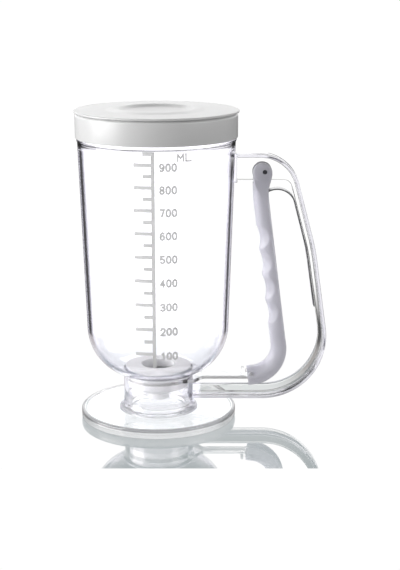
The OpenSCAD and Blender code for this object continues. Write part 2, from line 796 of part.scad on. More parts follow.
module link_pin() {
    color(STEEL) cross_bar(link, link_r, lever_w);
}

stand();
jug();
bowl();
neck();
rim_band();
lid();
lid_seal();
seat_gasket();
valve_seat();
gate_seal();
nozzle();
gate_slide();
handle_frame();
lever();
hinge_pin();
link_pin();
leaf_spring();
measuring_scale();
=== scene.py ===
"""Looks of the pancake batter dispenser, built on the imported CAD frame.

Lengths are in millimetres until a mesh is made. The camera, the lights and the materials
are in metres. The frame has +Z up, +X from the jug's axis towards the handle, and the
measuring scale facing -Y.
"""
import math

import bmesh
import bpy
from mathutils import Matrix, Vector


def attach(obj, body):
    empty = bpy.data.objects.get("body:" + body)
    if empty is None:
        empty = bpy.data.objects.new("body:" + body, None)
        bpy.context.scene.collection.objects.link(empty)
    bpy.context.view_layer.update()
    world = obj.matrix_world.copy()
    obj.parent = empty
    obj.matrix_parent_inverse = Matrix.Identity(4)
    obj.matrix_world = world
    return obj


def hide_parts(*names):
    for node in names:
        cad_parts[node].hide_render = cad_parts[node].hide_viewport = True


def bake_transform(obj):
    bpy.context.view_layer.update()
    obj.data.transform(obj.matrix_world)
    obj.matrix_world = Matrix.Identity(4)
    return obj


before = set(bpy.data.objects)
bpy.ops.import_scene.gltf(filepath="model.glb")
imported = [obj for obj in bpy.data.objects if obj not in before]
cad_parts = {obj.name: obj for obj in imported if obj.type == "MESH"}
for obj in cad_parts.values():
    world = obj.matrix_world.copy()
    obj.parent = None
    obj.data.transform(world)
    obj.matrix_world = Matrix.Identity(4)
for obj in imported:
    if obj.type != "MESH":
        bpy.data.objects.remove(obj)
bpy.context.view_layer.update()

# Solved from the photo's rims, stand and verticals
CAMERA_LENS, SENSOR_W = 119.04, 36.0
CAMERA_AT = (0.02794, -0.84849, 0.29869)
CAMERA_DOWN = 0.242034          # radians below the horizon

camera_data = bpy.data.cameras.new("camera")
camera_data.sensor_fit = "HORIZONTAL"
camera_data.sensor_width = SENSOR_W
camera_data.lens = CAMERA_LENS
camera = bpy.data.objects.new("camera", camera_data)
bpy.context.scene.collection.objects.link(camera)
camera.location = CAMERA_AT
camera.rotation_euler = (math.pi / 2 - CAMERA_DOWN, 0, 0)
bpy.context.scene.camera = camera

MM = 0.001
ROUND = 240          # segments of a turned piece


# ---- sizes shared with the CAD model ----

BODY_R, BODY_LOW_R, WALL_T = 51.0, 46.7, 2.2
MOUTH_Z, BOWL_Z, BAND_Z, BEAD_Z = 201.5, 62.0, 187.6, 185.6
BOWL_DROP, LEDGE_Z, SEAT_R, SEAT_GAP = 33.5, 32.2, 22.2, 0.55
NECK_R, NECK_T, FOOT_R, FLARE_H = 23.1, 2.5, 26.3, 6.6
BAND_R, BAND_TOP_Z, BEAD_OUT = 52.4, 203.0, 0.5
LID_R, LID_Z = 53.3, 205.0
STAND_R, STAND_H, STAND_FLOOR, RECESS_R, HUB_R = 51.6, 6.4, 5.4, 48.8, 20.2
HOLE_R, GATE_Z, GATE_T, GATE_WAY_HALF_W = 11.1, 25.5, 2.3, 13.2
HINGE, PIN_R = (69.7, 165.4), 1.5
LINK, LINK_R = (61.6, 29.4), 1.25
LEVER_W, LEVER_T = 13.0, 1.6
HANDLE_TOP_Z, HANDLE_LOW_Z = 176.8, 12.3
GATE_TOP_Z = GATE_Z + GATE_T
GATE_ROOM_Z = GATE_TOP_Z + 0.1


# ---- points and outlines ----

def unit(v):
    return v / v.length


def square_to(along):
    """The direction a right angle clockwise from another one."""
    return Vector((along.y, -along.x))


def downward(degrees):
    """The direction that slopes down from +X by an angle."""
    return Vector((math.cos(math.radians(degrees)), -math.sin(math.radians(degrees))))


def eased(t):
    """A smooth step from 0 to 1 as t goes from 0 to 1."""
    return (1 - math.cos(math.pi * max(0.0, min(1.0, t)))) / 2


def shares(steps):
    """Equally spaced numbers from 0 to 1."""
    return [i / steps for i in range(steps + 1)]


def turns(count):
    """Equally spaced angles of a full turn."""
    return [2 * math.pi * i / count for i in range(count)]


def arc_corner(a, b, c, radius, steps, share=1.0):
    """The corner b between a and c, rounded to points of an arc on a share of its sides."""
    u, v = unit(a - b), unit(c - b)
    half = math.acos(max(-1, min(1, u.dot(v)))) / 2
    if radius <= 0 or half > math.radians(88):
        return [b]
    reach = min(radius / math.tan(half), share * (a - b).length, share * (c - b).length)
    radius = reach * math.tan(half)
    centre = b + unit(u + v) * radius / math.sin(half)
    p, q = b + u * reach - centre, b + v * reach - centre
    start = math.atan2(p.y, p.x)
    sweep = (math.atan2(q.y, q.x) - start + math.pi) % (2 * math.pi) - math.pi
    return [centre + Vector((math.cos(t), math.sin(t))) * radius
            for t in (start + sweep * i / steps for i in range(steps + 1))]


def rounded_line(points, radii, steps):
    """An open line whose inner corners are arcs."""
    points = [Vector(p) for p in points]
    line = [points[0]]
    for i, radius in enumerate(radii, 1):
        line += arc_corner(points[i - 1], points[i], points[i + 1], radius, steps)
    return line + [points[-1]]


def rounded_loop(points, radius, steps=3):
    """A closed outline whose corners are arcs. A point may carry its own radius."""
    flat = [Vector(p[:2]) for p in points]
    loop = []
    for i, p in enumerate(points):
        r = p[2] if len(p) > 2 else radius
        loop += arc_corner(flat[i - 1], flat[i], flat[(i + 1) % len(flat)], r, steps, share=0.46)
    return loop


def spaced(line, step):
    """The same open line with points no further apart than step."""
    out = [line[0]]
    for a, b in zip(line, line[1:]):
        n = max(1, math.ceil((b - a).length / step))
        out += [a.lerp(b, i / n) for i in range(1, n + 1)]
    return out


def meeting(p, d, q, e):
    """Where the line through p along d meets the line through q along e."""
    cross = d.x * e.y - d.y * e.x
    return p + d * ((q - p).x * e.y - (q - p).y * e.x) / cross


def at_height(p, d, z):
    """Where the line through p along d has height z."""
    return p + d * (z - p.y) / d.y


def direction_at(line, i):
    """The direction of an open line at its point i."""
    return unit(line[min(i + 1, len(line) - 1)] - line[max(i - 1, 0)])


def ring_at(p, along, section):
    """A section of (sideways, across) points at p, square to a line in the handle's plane."""
    side = square_to(along)
    return [(p.x + side.x * u, v, p.y + side.y * u) for u, v in section]


# ---- meshes ----

def new_piece(name, points, faces):
    """A mesh object from points in millimetres, smooth but for its sharp edges."""
    mesh = bpy.data.meshes.new(name)
    mesh.from_pydata([(x * MM, y * MM, z * MM) for x, y, z in points], [], faces)
    bm = bmesh.new()
    bm.from_mesh(mesh)
    bmesh.ops.remove_doubles(bm, verts=bm.verts, dist=1e-7)
    bmesh.ops.recalc_face_normals(bm, faces=bm.faces)
    bm.to_mesh(mesh)
    bm.free()
    piece = bpy.data.objects.new(name, mesh)
    bpy.context.scene.collection.objects.link(piece)
    smooth(piece)
    return piece


def smooth(piece, crease=32):
    """Shades a piece smooth but for edges sharper than crease degrees."""
    piece.data.shade_smooth()
    piece.data.set_sharp_from_angle(angle=math.radians(crease))


def turned(name, loop):
    """A closed outline of (radius, height) points turned about the jug's axis."""
    points, faces = [], []
    n = len(loop)
    for a in turns(ROUND):
        points += [(p.x * math.cos(a), p.x * math.sin(a), p.y) for p in loop]
    for i in range(ROUND):
        for j in range(n):
            k, m = (i + 1) % ROUND, (j + 1) % n
            face = [i * n + j, k * n + j, k * n + m, i * n + m]
            for corner in (j, m):
                if loop[corner].x < 1e-6:        # on the axis, where the segments meet
                    face.remove(k * n + corner)
            if len(face) > 2:
                faces.append(face)
    return new_piece(name, points, faces)


def lofted(name, sections):
    """A solid through rings of equally many points."""
    n, last = len(sections[0]), len(sections) - 1
    points = [p for ring in sections for p in ring]
    faces = [[i * n + j, (i + 1) * n + j, (i + 1) * n + (j + 1) % n, i * n + (j + 1) % n]
             for i in range(last) for j in range(n)]
    faces += [list(range(n)), list(range(last * n, (last + 1) * n))]
    return new_piece(name, points, faces)


def bar(name, at, radius, length, ease=0.25):
    """A round bar across the handle's plane, with eased ends."""
    end = length / 2
    stations = [(-end, radius - ease), (-end + ease, radius), (end - ease, radius), (end, radius - ease)]
    return lofted(name, [[(at[0] + r * math.cos(a), y, at[1] + r * math.sin(a)) for a in turns(64)]
                         for y, r in stations])


def slab(name, lo, hi, ease=0.3):
    """A block between two corners with eased edges."""
    bm = bmesh.new()
    bmesh.ops.create_cube(bm, size=1.0)
    for v in bm.verts:
        v.co = Vector((lo[i] if v.co[i] < 0 else hi[i] for i in range(3)))
    if ease:
        bmesh.ops.bevel(bm, geom=bm.edges, offset=ease, segments=3, profile=0.5, affect="EDGES")
    bm.verts.index_update()
    points = [tuple(v.co) for v in bm.verts]
    faces = [[v.index for v in f.verts] for f in bm.faces]
    bm.free()
    return new_piece(name, points, faces)


def combine(piece, tools, operation, crease=32):
    """Joins tools to piece, or cuts them from it, and removes them."""
    for tool in tools:
        step = piece.modifiers.new("combine", "BOOLEAN")
        step.operation = operation
        step.solver = "EXACT"
        step.object = tool
    bpy.context.view_layer.update()
    evaluated = piece.evaluated_get(bpy.context.evaluated_depsgraph_get())
    done = bpy.data.meshes.new_from_object(evaluated)
    piece.modifiers.clear()
    piece.data = done
    for tool in tools:
        bpy.data.objects.remove(tool)
    smooth(piece, crease)


def finish_piece(piece, body, material, replaces=()):
    """Paints a piece, puts it on its body and lets it stand for its CAD nodes."""
    piece.data.materials.clear()
    piece.data.materials.append(material)
    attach(piece, body)
    if replaces:
        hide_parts(*replaces)


# ---- material nodes ----

def add_node(tree, kind, inputs=None, **settings):
    """A new node. What goes to an input is an output of another node or a plain value."""
    node = tree.nodes.new(kind)
    for key, value in settings.items():
        setattr(node, key, value)
    for key, value in (inputs or {}).items():
        if isinstance(value, bpy.types.NodeSocket):
            tree.links.new(value, node.inputs[key])
        else:
            node.inputs[key].default_value = value
    return node


def maths(tree, operation, *values, clamp=False):
    """The result of an operation on outputs and plain numbers."""
    node = add_node(tree, "ShaderNodeMath", dict(enumerate(values)), operation=operation, use_clamp=clamp)
    return node.outputs["Value"]


def mix_numbers(tree, share, a, b):
    """The number a where share is 0, and b where it is 1."""
    return add_node(tree, "ShaderNodeMix", {0: share, 2: a, 3: b}).outputs[0]


def mix_colours(tree, share, a, b, blend_type="MIX"):
    """The colour a where share is 0, and b, or their product with MULTIPLY, where it is 1."""
    node = add_node(tree, "ShaderNodeMix", {0: share, 6: a, 7: b}, data_type="RGBA", blend_type=blend_type)
    return node.outputs[2]


def smooth_step(tree, output, limits, start=0.0, end=1.0):
    """A smooth step of a value, from start at the first limit to end at the second."""
    node = add_node(tree, "ShaderNodeMapRange", {
        "Value": output, "From Min": limits[0], "From Max": limits[1], "To Min": start, "To Max": end},
        interpolation_type="SMOOTHSTEP")
    return node.outputs["Result"]


def colour_ramp(tree, output, stops):
    """Colours for a value, through stops of (value, colour)."""
    node = add_node(tree, "ShaderNodeValToRGB", {"Fac": output})
    elements = node.color_ramp.elements
    for position, _ in stops[1:-1]:
        elements.new(position)
    for element, (position, colour) in zip(elements, stops):
        element.position, element.color = position, colour
    return node.outputs["Color"]


def noise_of(tree, scale, detail=2.0):
    """A noise that is fixed to the part. Scale is in features per metre."""
    place = add_node(tree, "ShaderNodeTexCoord").outputs["Object"]
    return add_node(tree, "ShaderNodeTexNoise",
                    {"Vector": place, "Scale": scale, "Detail": detail}).outputs["Fac"]


# ---- materials ----

# Unevenness of the surfaces: features per metre and their depth in metres
CLEAR_WAVES, MOULDED_GRAIN = (60.0, 0.00002), (180.0, 0.00004)
SPRING_GRAIN, PIN_GRAIN = (900.0, 0.00002), (1500.0, 0.00002)
CLOUD_SCALE = 25.0

# Where the painted shade and the thinning by place begin and end, in metres
HANDLE_X, LIMB_X, LIMB_Z = (0.0506, 0.0514), (0.0265, 0.0290), (0.0218, 0.0225)
FOOT_TOP_Z, LIP_R, LIP_Z, SIDE_Z = (0.0115, 0.0145), (0.0490, 0.0498), (0.0038, 0.0046), (0.0034, 0.0042)


def grey(v):
    return (v, v, v, 1)


def shader(name, **values):
    """A Principled material with its plain values set on the shader's own sockets."""
    material = bpy.data.materials.new(name)
    material.use_nodes = True
    bsdf = material.node_tree.nodes["Principled BSDF"]
    for key, value in values.items():
        bsdf.inputs[key.replace("_", " ")].default_value = value
    return material, material.node_tree, bsdf


def bumpy(tree, bsdf, grain):
    """Gives the surface its fine unevenness and returns the noise."""
    scale, depth = grain
    noise = noise_of(tree, scale, detail=3.0)
    bump = add_node(tree, "ShaderNodeBump", {"Distance": depth, "Strength": 1.0, "Height": noise})
    tree.links.new(bump.outputs["Normal"], bsdf.inputs["Normal"])
    return noise


def uneven_gloss(tree, bsdf, noise, low, high):
    """Spreads a noise over a range of roughness."""
    spread = add_node(tree, "ShaderNodeMapRange", {"Value": noise, "To Min": low, "To Max": high})
    tree.links.new(spread.outputs["Result"], bsdf.inputs["Roughness"])


def clear_plastic(name, tint, density, edge, alpha=1.0):
    """A clear moulding, with painted shade darkening its base colour towards its edges, and darker with the
    length of the way through it.
    """
    material, tree, bsdf = shader(name, Transmission_Weight=1.0, IOR=1.5, Roughness=0.0, Alpha=alpha)
    bumpy(tree, bsdf, CLEAR_WAVES)
    # Painted shade: the base colour darkens to the edge colour where the surface turns away from the view,
    # for the dark edges of clear plastic
    facing = add_node(tree, "ShaderNodeLayerWeight", {"Blend": 0.5}).outputs["Facing"]
    colour = colour_ramp(tree, facing, [
        (0.0, (1, 1, 1, 1)), (0.6, (0.99, 0.985, 0.995, 1)), (0.9, edge), (1.0, edge)])
    tree.links.new(colour, bsdf.inputs["Base Color"])
    absorb = add_node(tree, "ShaderNodeVolumeAbsorption", {"Color": tint, "Density": density})
    tree.links.new(absorb.outputs["Volume"], tree.nodes["Material Output"].inputs["Volume"])
    return material


def place_on_part(material):
    """A material's tree and shader, and the place on the part, whole and as X, Y and Z."""
    tree = material.node_tree
    place = add_node(tree, "ShaderNodeTexCoord").outputs["Object"]
    parts = add_node(tree, "ShaderNodeSeparateXYZ", {0: place}).outputs
    return tree, tree.nodes["Principled BSDF"], place, parts


def tint_colour(tree, bsdf, mask, tint):
    """Paints shade: multiplies the base colour by a darker tint where the mask is 1."""
    colour = bsdf.inputs["Base Color"]
    tree.links.new(mix_colours(tree, mask, colour.links[0].from_socket, tint, "MULTIPLY"), colour)


def shade_handle(material, tint, foot_alpha):
    """Paints shade on the moulding's handle, which is solid and thick, as a darker base colour, and thins
    the foot on the stand.
    """
    tree, bsdf, _, parts = place_on_part(material)
    beyond_wall = smooth_step(tree, parts["X"], HANDLE_X)
    low_limb = maths(tree, "MULTIPLY", smooth_step(tree, parts["X"], LIMB_X),
                     smooth_step(tree, parts["Z"], LIMB_Z, 1.0, 0.0))
    # Painted shade: the base colour beyond the wall and on the low limb is multiplied by the darker tint
    tint_colour(tree, bsdf, maths(tree, "MAXIMUM", beyond_wall, low_limb), tint)
    tree.links.new(smooth_step(tree, parts["Z"], FOOT_TOP_Z, foot_alpha, 1.0), bsdf.inputs["Alpha"])


def shade_rim(material, tint, side_alpha):
    """Paints shade on the stand's lip as a darker base colour and thins its side, which the photo shows
    nearly white.
    """
    tree, bsdf, place, parts = place_on_part(material)
    flat = add_node(tree, "ShaderNodeVectorMath", {0: place, 1: (1, 1, 0)}, operation="MULTIPLY")
    reach = add_node(tree, "ShaderNodeVectorMath", {0: flat.outputs["Vector"]}, operation="LENGTH")
    lip = maths(tree, "MULTIPLY", smooth_step(tree, reach.outputs["Value"], LIP_R),
                smooth_step(tree, parts["Z"], LIP_Z))
    # Painted shade: the lip's base colour is multiplied by the darker tint
    tint_colour(tree, bsdf, lip, tint)
    tree.links.new(smooth_step(tree, parts["Z"], SIDE_Z, side_alpha, 1.0), bsdf.inputs["Alpha"])


def moulded_plastic(name, dark, light, roughness, **values):
    """An opaque moulding with a faintly uneven colour, gloss and surface."""
    material, tree, bsdf = shader(name, **values)
    uneven_gloss(tree, bsdf, bumpy(tree, bsdf, MOULDED_GRAIN), roughness * 0.85, roughness * 1.2)
    cloud = colour_ramp(tree, noise_of(tree, CLOUD_SCALE), [(0.3, dark), (0.7, light)])
    tree.links.new(cloud, bsdf.inputs["Base Color"])
    return material


def metal(name, colour, grain, roughness, **values):
    """A metal with a finely uneven gloss and surface."""
    material, tree, bsdf = shader(name, Base_Color=colour, **values)
    uneven_gloss(tree, bsdf, bumpy(tree, bsdf, grain), *roughness)
    return material


# The last colour given to each clear material is its painted edge shade
clear = clear_plastic("clear_plastic", (0.50, 0.47, 0.62, 1), 60.0, (0.5, 0.49, 0.56, 1))
# Painted shade on the handle: a darker base colour beyond the wall and along the low limb; the foot is
# thinned
shade_handle(clear, (0.66, 0.668, 0.638, 1), 0.7)
clear_stand = clear_plastic("clear_stand", (0.50, 0.51, 0.54, 1), 30.0, (0.5, 0.50, 0.52, 1))
# Painted shade on the stand's lip: a darker base colour; the side is thinned
shade_rim(clear_stand, (0.20, 0.20, 0.205, 1), 0.35)
clear_gate = clear_plastic("clear_gate", (0.45, 0.45, 0.47, 1), 40.0, grey(0.5), alpha=0.9)
white_plastic = moulded_plastic("white_plastic", grey(0.685), grey(0.705), 0.30, IOR=1.5)
valve_plastic = moulded_plastic("valve_plastic", grey(0.66), grey(0.70), 0.35, IOR=1.48)
lever_plastic = moulded_plastic(
    "lever_plastic", (0.47, 0.465, 0.515, 1), (0.50, 0.495, 0.545, 1), 0.32,
    Subsurface_Weight=0.5, Subsurface_Scale=0.005, Subsurface_Radius=(1, 1, 1))
silicone = moulded_plastic("silicone", grey(0.60), grey(0.66), 0.5, Subsurface_Weight=0.2)
print_white = moulded_plastic("scale_print", grey(0.70), grey(0.74), 0.55, Alpha=0.7)
steel = metal("spring_steel", (0.30, 0.30, 0.31, 1), SPRING_GRAIN, (0.25, 0.42),
              Metallic=1.0, Anisotropic=0.4)
pale_steel = metal("link_pin_steel", (0.52, 0.52, 0.55, 1), PIN_GRAIN, (0.35, 0.5), Metallic=0.25)
dark_steel = metal("pin_steel", (0.06, 0.06, 0.065, 1), PIN_GRAIN, (0.3, 0.5), Metallic=0.8)


# ---- stand ----

HUB_Z, HUB_T = STAND_FLOOR + 3.2, 1.8
stand = turned("stand_disc", rounded_loop([
    (0, 0), (STAND_R, 0, 1.0), (STAND_R, STAND_H, 1.6), (RECESS_R, STAND_H, 0.6),
    (RECESS_R - 0.5, STAND_FLOOR, 0.5), (HUB_R, STAND_FLOOR, 0.4), (HUB_R, HUB_Z, 0.4),
    (HUB_R - HUB_T, HUB_Z, 0.4), (HUB_R - HUB_T, STAND_FLOOR, 0.6), (0, STAND_FLOOR)], 0, steps=5))
finish_piece(stand, "stand", clear_stand, ["stand"])


# ---- jug: wall, bowl, neck and handle as one moulding ----

FOOT_Z, FLARE_Z = STAND_FLOOR + 0.1, STAND_FLOOR + 1.2
WALL_LOW_Z, NECK_FILLET, LIP_EASE = BOWL_Z + 3, 2.0, 0.3


def bowl_angle(t, z):
    """Where the quarter ellipse of the bowl, moved inwards by t, passes height z."""
    return math.asin((BOWL_Z - z) / (BOWL_DROP - t))


ledge_r = SEAT_R + SEAT_GAP
ledge_share = math.cos(bowl_angle(WALL_T, LEDGE_Z))
bowl_x = (ledge_r - ledge_share * (BODY_LOW_R - WALL_T)) / (1 - ledge_share)


def bowl_point(t, a):
    """The point of the bowl's profile, moved inwards by t, at angle a below its top."""
    return bowl_x + (BODY_LOW_R - t - bowl_x) * math.cos(a), BOWL_Z - (BOWL_DROP - t) * math.sin(a)


def bowl_curve(t, low):
    """The bowl's profile from an angle below its top up to the top."""
    return [Vector(bowl_point(t, low * (1 - share))) for share in shares(28)]


def wall_r(z):
    """Outer radius of the jug's side at height z, wall or bowl."""
    if z < BOWL_Z:
        return bowl_point(0, bowl_angle(0, z))[0]
    return BODY_LOW_R + (BODY_R - BODY_LOW_R) * (z - BOWL_Z) / (BEAD_Z - BOWL_Z)


def flare(t):
    """The foot's flare, moved inwards by t."""
    return [Vector((FOOT_R - t - (FOOT_R - NECK_R) * math.sin(a), FLARE_Z + FLARE_H * (1 - math.cos(a))))
            for a in (math.pi / 2 * i / 10 for i in range(11))]


def wall_side(inset, low, high, count=24):
    """Points up the wall, close enough for the cut faces to stay flat."""
    return [Vector((wall_r(z) - inset, z))
            for z in (low + (high - low) * i / count for i in range(count + 1))]


neck_bore_r = NECK_R - NECK_T
neck_angle = math.acos((NECK_R - bowl_x) / (BODY_LOW_R - bowl_x))
bowl_outside = bowl_curve(0, neck_angle)
bowl_inside = bowl_curve(WALL_T, bowl_angle(WALL_T, LEDGE_Z))
bead_r, bead_top_z = BODY_R + BEAD_OUT, BAND_Z - 0.05
under_band_r, mouth_r = BODY_R - 0.02, BODY_R - WALL_T

jug_loop = (
    [Vector((FOOT_R, FOOT_Z))] + flare(0)
    + arc_corner(Vector((NECK_R, 14)), bowl_outside[0], bowl_outside[2], NECK_FILLET, 8)
    + bowl_outside[2:] + wall_side(0, WALL_LOW_Z, BEAD_Z - 0.6)
    + [Vector(p) for p in (
        (bead_r - 0.15, BEAD_Z), (bead_r, BEAD_Z + 0.3), (bead_r, bead_top_z),
        (under_band_r, bead_top_z), (under_band_r, MOUTH_Z - LIP_EASE), (BODY_R - LIP_EASE, MOUTH_Z),
        (mouth_r + LIP_EASE, MOUTH_Z), (mouth_r, MOUTH_Z - LIP_EASE))]
    + list(reversed(wall_side(WALL_T, WALL_LOW_Z, BEAD_Z))) + list(reversed(bowl_inside[1:]))
    + [Vector(p) for p in (
        (ledge_r + 0.3, LEDGE_Z + 0.2), (ledge_r - 0.2, LEDGE_Z),
        (neck_bore_r + 0.3, LEDGE_Z), (neck_bore_r, LEDGE_Z - 0.3))]
    + list(reversed(flare(NECK_T))) + [Vector((FOOT_R - NECK_T, FOOT_Z))])
jug = turned("jug_moulding", jug_loop)

# Outer line of the handle, from its root under the band round to its root on the neck
HANDLE_REACH, BEND_Z = 111.7, 114.2
HANDLE_TOP_R, LIMB_R, HANDLE_LOW_R = 26, 150, 42.6
low_dir, high_dir = downward(81.75), downward(75.2)
low_centre = Vector((HANDLE_REACH - HANDLE_LOW_R, HANDLE_LOW_Z + HANDLE_LOW_R))
limb_bend = at_height(low_centre - HANDLE_LOW_R * square_to(low_dir), low_dir, BEND_Z)
outer_corners = [
    (wall_r(HANDLE_TOP_Z) - 1.2, HANDLE_TOP_Z), at_height(limb_bend, high_dir, HANDLE_TOP_Z),
    limb_bend, at_height(limb_bend, low_dir, HANDLE_LOW_Z), (NECK_R - 1.6, HANDLE_LOW_Z)]
outer_line = spaced(rounded_line(outer_corners, [HANDLE_TOP_R, LIMB_R, HANDLE_LOW_R], 28), 3.0)

# Inner line of the web, which is deep at the top, slim along the limb and deeper below
LIMB_DEPTH, WEB_TOP_Z, WEB_LOW_Z, WEB_TOP_R, WEB_LOW_R = 5.2, 159.6, 21.3, 5, HANDLE_LOW_R - 6.7
bend_inward = unit(square_to(high_dir) + square_to(low_dir))
inner_bend = limb_bend + bend_inward * LIMB_DEPTH
inner_line = rounded_line(
    [(20, WEB_TOP_Z), at_height(inner_bend, high_dir, WEB_TOP_Z), inner_bend,
     at_height(inner_bend, low_dir, WEB_LOW_Z), (10, WEB_LOW_Z)],
    [WEB_TOP_R, LIMB_R - LIMB_DEPTH, WEB_LOW_R], 20)

FLANGE_HALF_W, FLANGE_T, WEB_HALF_W = 6.0, 2.0, 2.0
TEE_ROUNDS = (0.7, 0.6, 0.9, 0.9)
DEEPEST = 40.0          # of the web, where no inner line is met


def depth_to(line, p, inward):
    """How far it is from p to the line, going inward."""
    best = DEEPEST
    for a, b in zip(line, line[1:]):
        d = b - a
        cross = inward.x * d.y - inward.y * d.x
        if abs(cross) < 1e-9:
            continue
        t = ((a - p).x * d.y - (a - p).y * d.x) / cross
        s = ((a - p).x * inward.y - (a - p).y * inward.x) / cross
        if t > 0 and -1e-6 <= s <= 1 + 1e-6:
            best = min(best, t)
    return best


def tee_section(depth):
    """The handle's T-shaped section: (depth inward, across)."""
    loop = [Vector(p) for p in (
        (0, 0), (0, FLANGE_HALF_W), (FLANGE_T, FLANGE_HALF_W), (FLANGE_T, WEB_HALF_W),
        (depth, WEB_HALF_W), (depth, 0))]
    half = rounded_line(loop, TEE_ROUNDS, 4)
    return [(q.x, q.y) for q in half] + [(q.x, -q.y) for q in reversed(half[1:-1])]


handle_rings = []
for i, p in enumerate(outer_line):
    along = direction_at(outer_line, i)
    handle_rings.append(ring_at(p, along, tee_section(depth_to(inner_line, p, square_to(along)))))
handle = lofted("handle", handle_rings)

# Root pad on the jug's wall, curved to follow it
PAD_IN_R, PAD_T, PAD_LOW_Z, PAD_TOP_Z, PAD_EASE = 49.2, 1.8, 158.4, HANDLE_TOP_Z - 0.3, 0.5
pad_out = wall_r(168) + PAD_T
pad_plan = ([(PAD_IN_R, 5.4), (PAD_IN_R, -5.4)]
            + [(math.sqrt(pad_out ** 2 - y * y), y) for y in (-5.9, -5.0, -3, 0, 3, 5.0, 5.9)])
root_pad = lofted("root_pad", [
    [(x, y * width, z) for x, y in pad_plan] for z, width in (
        (PAD_LOW_Z, 0.96), (PAD_LOW_Z + PAD_EASE, 1), (PAD_TOP_Z - PAD_EASE, 1), (PAD_TOP_Z, 0.96))])
GUIDE_Z, BOSS_R, BOSS_W, PIN_BORE_R = 25.4, 4.5, 9.2, 1.56
boss = bar("boss", HINGE, BOSS_R, BOSS_W)
combine(jug, [handle, root_pad, boss], "UNION")
gate_way = slab("gate_way", (12, -GATE_WAY_HALF_W, GUIDE_Z),
                (NECK_R + 5, GATE_WAY_HALF_W, GATE_ROOM_Z), ease=0)
pin_bore = bar("pin_bore", HINGE, PIN_BORE_R, 14)
combine(jug, [gate_way, pin_bore], "DIFFERENCE")
finish_piece(jug, "jug", clear, ["jug", "bowl", "neck", "handle_frame"])


# ---- rim band, lid and its seal ----

band_in_r, band_foot_z = BODY_R + 0.03, MOUTH_Z + 0.03
band = turned("rim_band_ring", rounded_loop([
    (band_in_r, BAND_Z, 0.2), (BAND_R, BAND_Z, 0.5), (BAND_R, BAND_TOP_Z, 1.6),
    (mouth_r, BAND_TOP_Z, 0.4), (mouth_r, band_foot_z, 0.2), (band_in_r, band_foot_z, 0.1)], 0, steps=6))
finish_piece(band, "jug", white_plastic, ["rim_band"])

PLUG_R, PLUG_T, PLUG_Z, SEAL_Z, SEAL_H, SEAL_GROOVE = 48.4, 1.6, 193.5, 195.7, 2.4, 0.8
RING_R, CREST_R, DISH_R, RING_H, DISH_D = 33.0, 27.5, 20.0, 1.2, 0.9
LID_T, LID_EDGE_R, BEARING_R = 2.5, LID_R - 0.06, (49.4, 50.8)

dish_side = [(DISH_R + (CREST_R - 2 - DISH_R) * t, LID_Z - DISH_D + (DISH_D + RING_H) * eased(t), 0)
             for t in shares(12)]
ring_side = [(CREST_R + (RING_R - CREST_R) * t, LID_Z + RING_H * (1 - eased(t)), 0) for t in shares(12)]
lid = turned("lid_disc", rounded_loop(
    [(0, LID_Z - LID_T), (PLUG_R - PLUG_T, LID_Z - LID_T, 1.0), (PLUG_R - PLUG_T, PLUG_Z, 0.4),
     (PLUG_R, PLUG_Z, 0.6), (PLUG_R, SEAL_Z, 0.1), (PLUG_R - SEAL_GROOVE, SEAL_Z, 0.1),
     (PLUG_R - SEAL_GROOVE, SEAL_Z + SEAL_H, 0.1), (PLUG_R, SEAL_Z + SEAL_H, 0.1),
     (PLUG_R, BAND_TOP_Z + 0.25, 0.2), (BEARING_R[0], BAND_TOP_Z + 0.02, 0.2),
     (BEARING_R[1], BAND_TOP_Z + 0.02, 0.2), (BEARING_R[1], BAND_TOP_Z + 0.6, 0.3),
     (LID_EDGE_R, BAND_TOP_Z + 0.6, 0.5), (LID_EDGE_R, LID_Z, 0.65)]
    + ring_side[::-1] + dish_side[::-1] + [(0, LID_Z - DISH_D, 0)], 0.3, steps=6))
finish_piece(lid, "lid", white_plastic, ["lid"])

lid_seal = turned("lid_seal_ring", rounded_loop([
    (PLUG_R - 0.78, SEAL_Z + 0.02), (PLUG_R + 0.2, SEAL_Z + 0.02), (PLUG_R + 0.2, SEAL_Z + SEAL_H - 0.02),
    (PLUG_R - 0.78, SEAL_Z + SEAL_H - 0.02)], 0.35, steps=5))
finish_piece(lid_seal, "lid", silicone, ["lid_seal"])


# ---- valve seat, seals and nozzle ----

FLANGE_Z, FLANGE_IN_R = LEDGE_Z + 0.7, 20.4
seat = turned("valve_seat_ring", rounded_loop([
    (HOLE_R, GATE_ROOM_Z, 0.3), (FLANGE_IN_R, GATE_ROOM_Z, 0.3), (FLANGE_IN_R, FLANGE_Z, 0.3),
    (SEAT_R, FLANGE_Z, 0.25), (SEAT_R, FLANGE_Z + 0.9, 0.4), (16.6, FLANGE_Z + 1.5, 3),
    (HOLE_R, FLANGE_Z + 2.0, 0.7)], 0.2, steps=6))
SEAL_ROOM_R, SEAL_ROOM_Z = (HOLE_R + 0.8, HOLE_R + 3.0), (26, 29.2)
seal_room = turned("seal_room", [Vector(p) for p in (
    (SEAL_ROOM_R[0], SEAL_ROOM_Z[0]), (SEAL_ROOM_R[1], SEAL_ROOM_Z[0]),
    (SEAL_ROOM_R[1], SEAL_ROOM_Z[1]), (SEAL_ROOM_R[0], SEAL_ROOM_Z[1]))])
combine(seat, [seal_room], "DIFFERENCE")
finish_piece(seat, "jug", valve_plastic, ["valve_seat"])

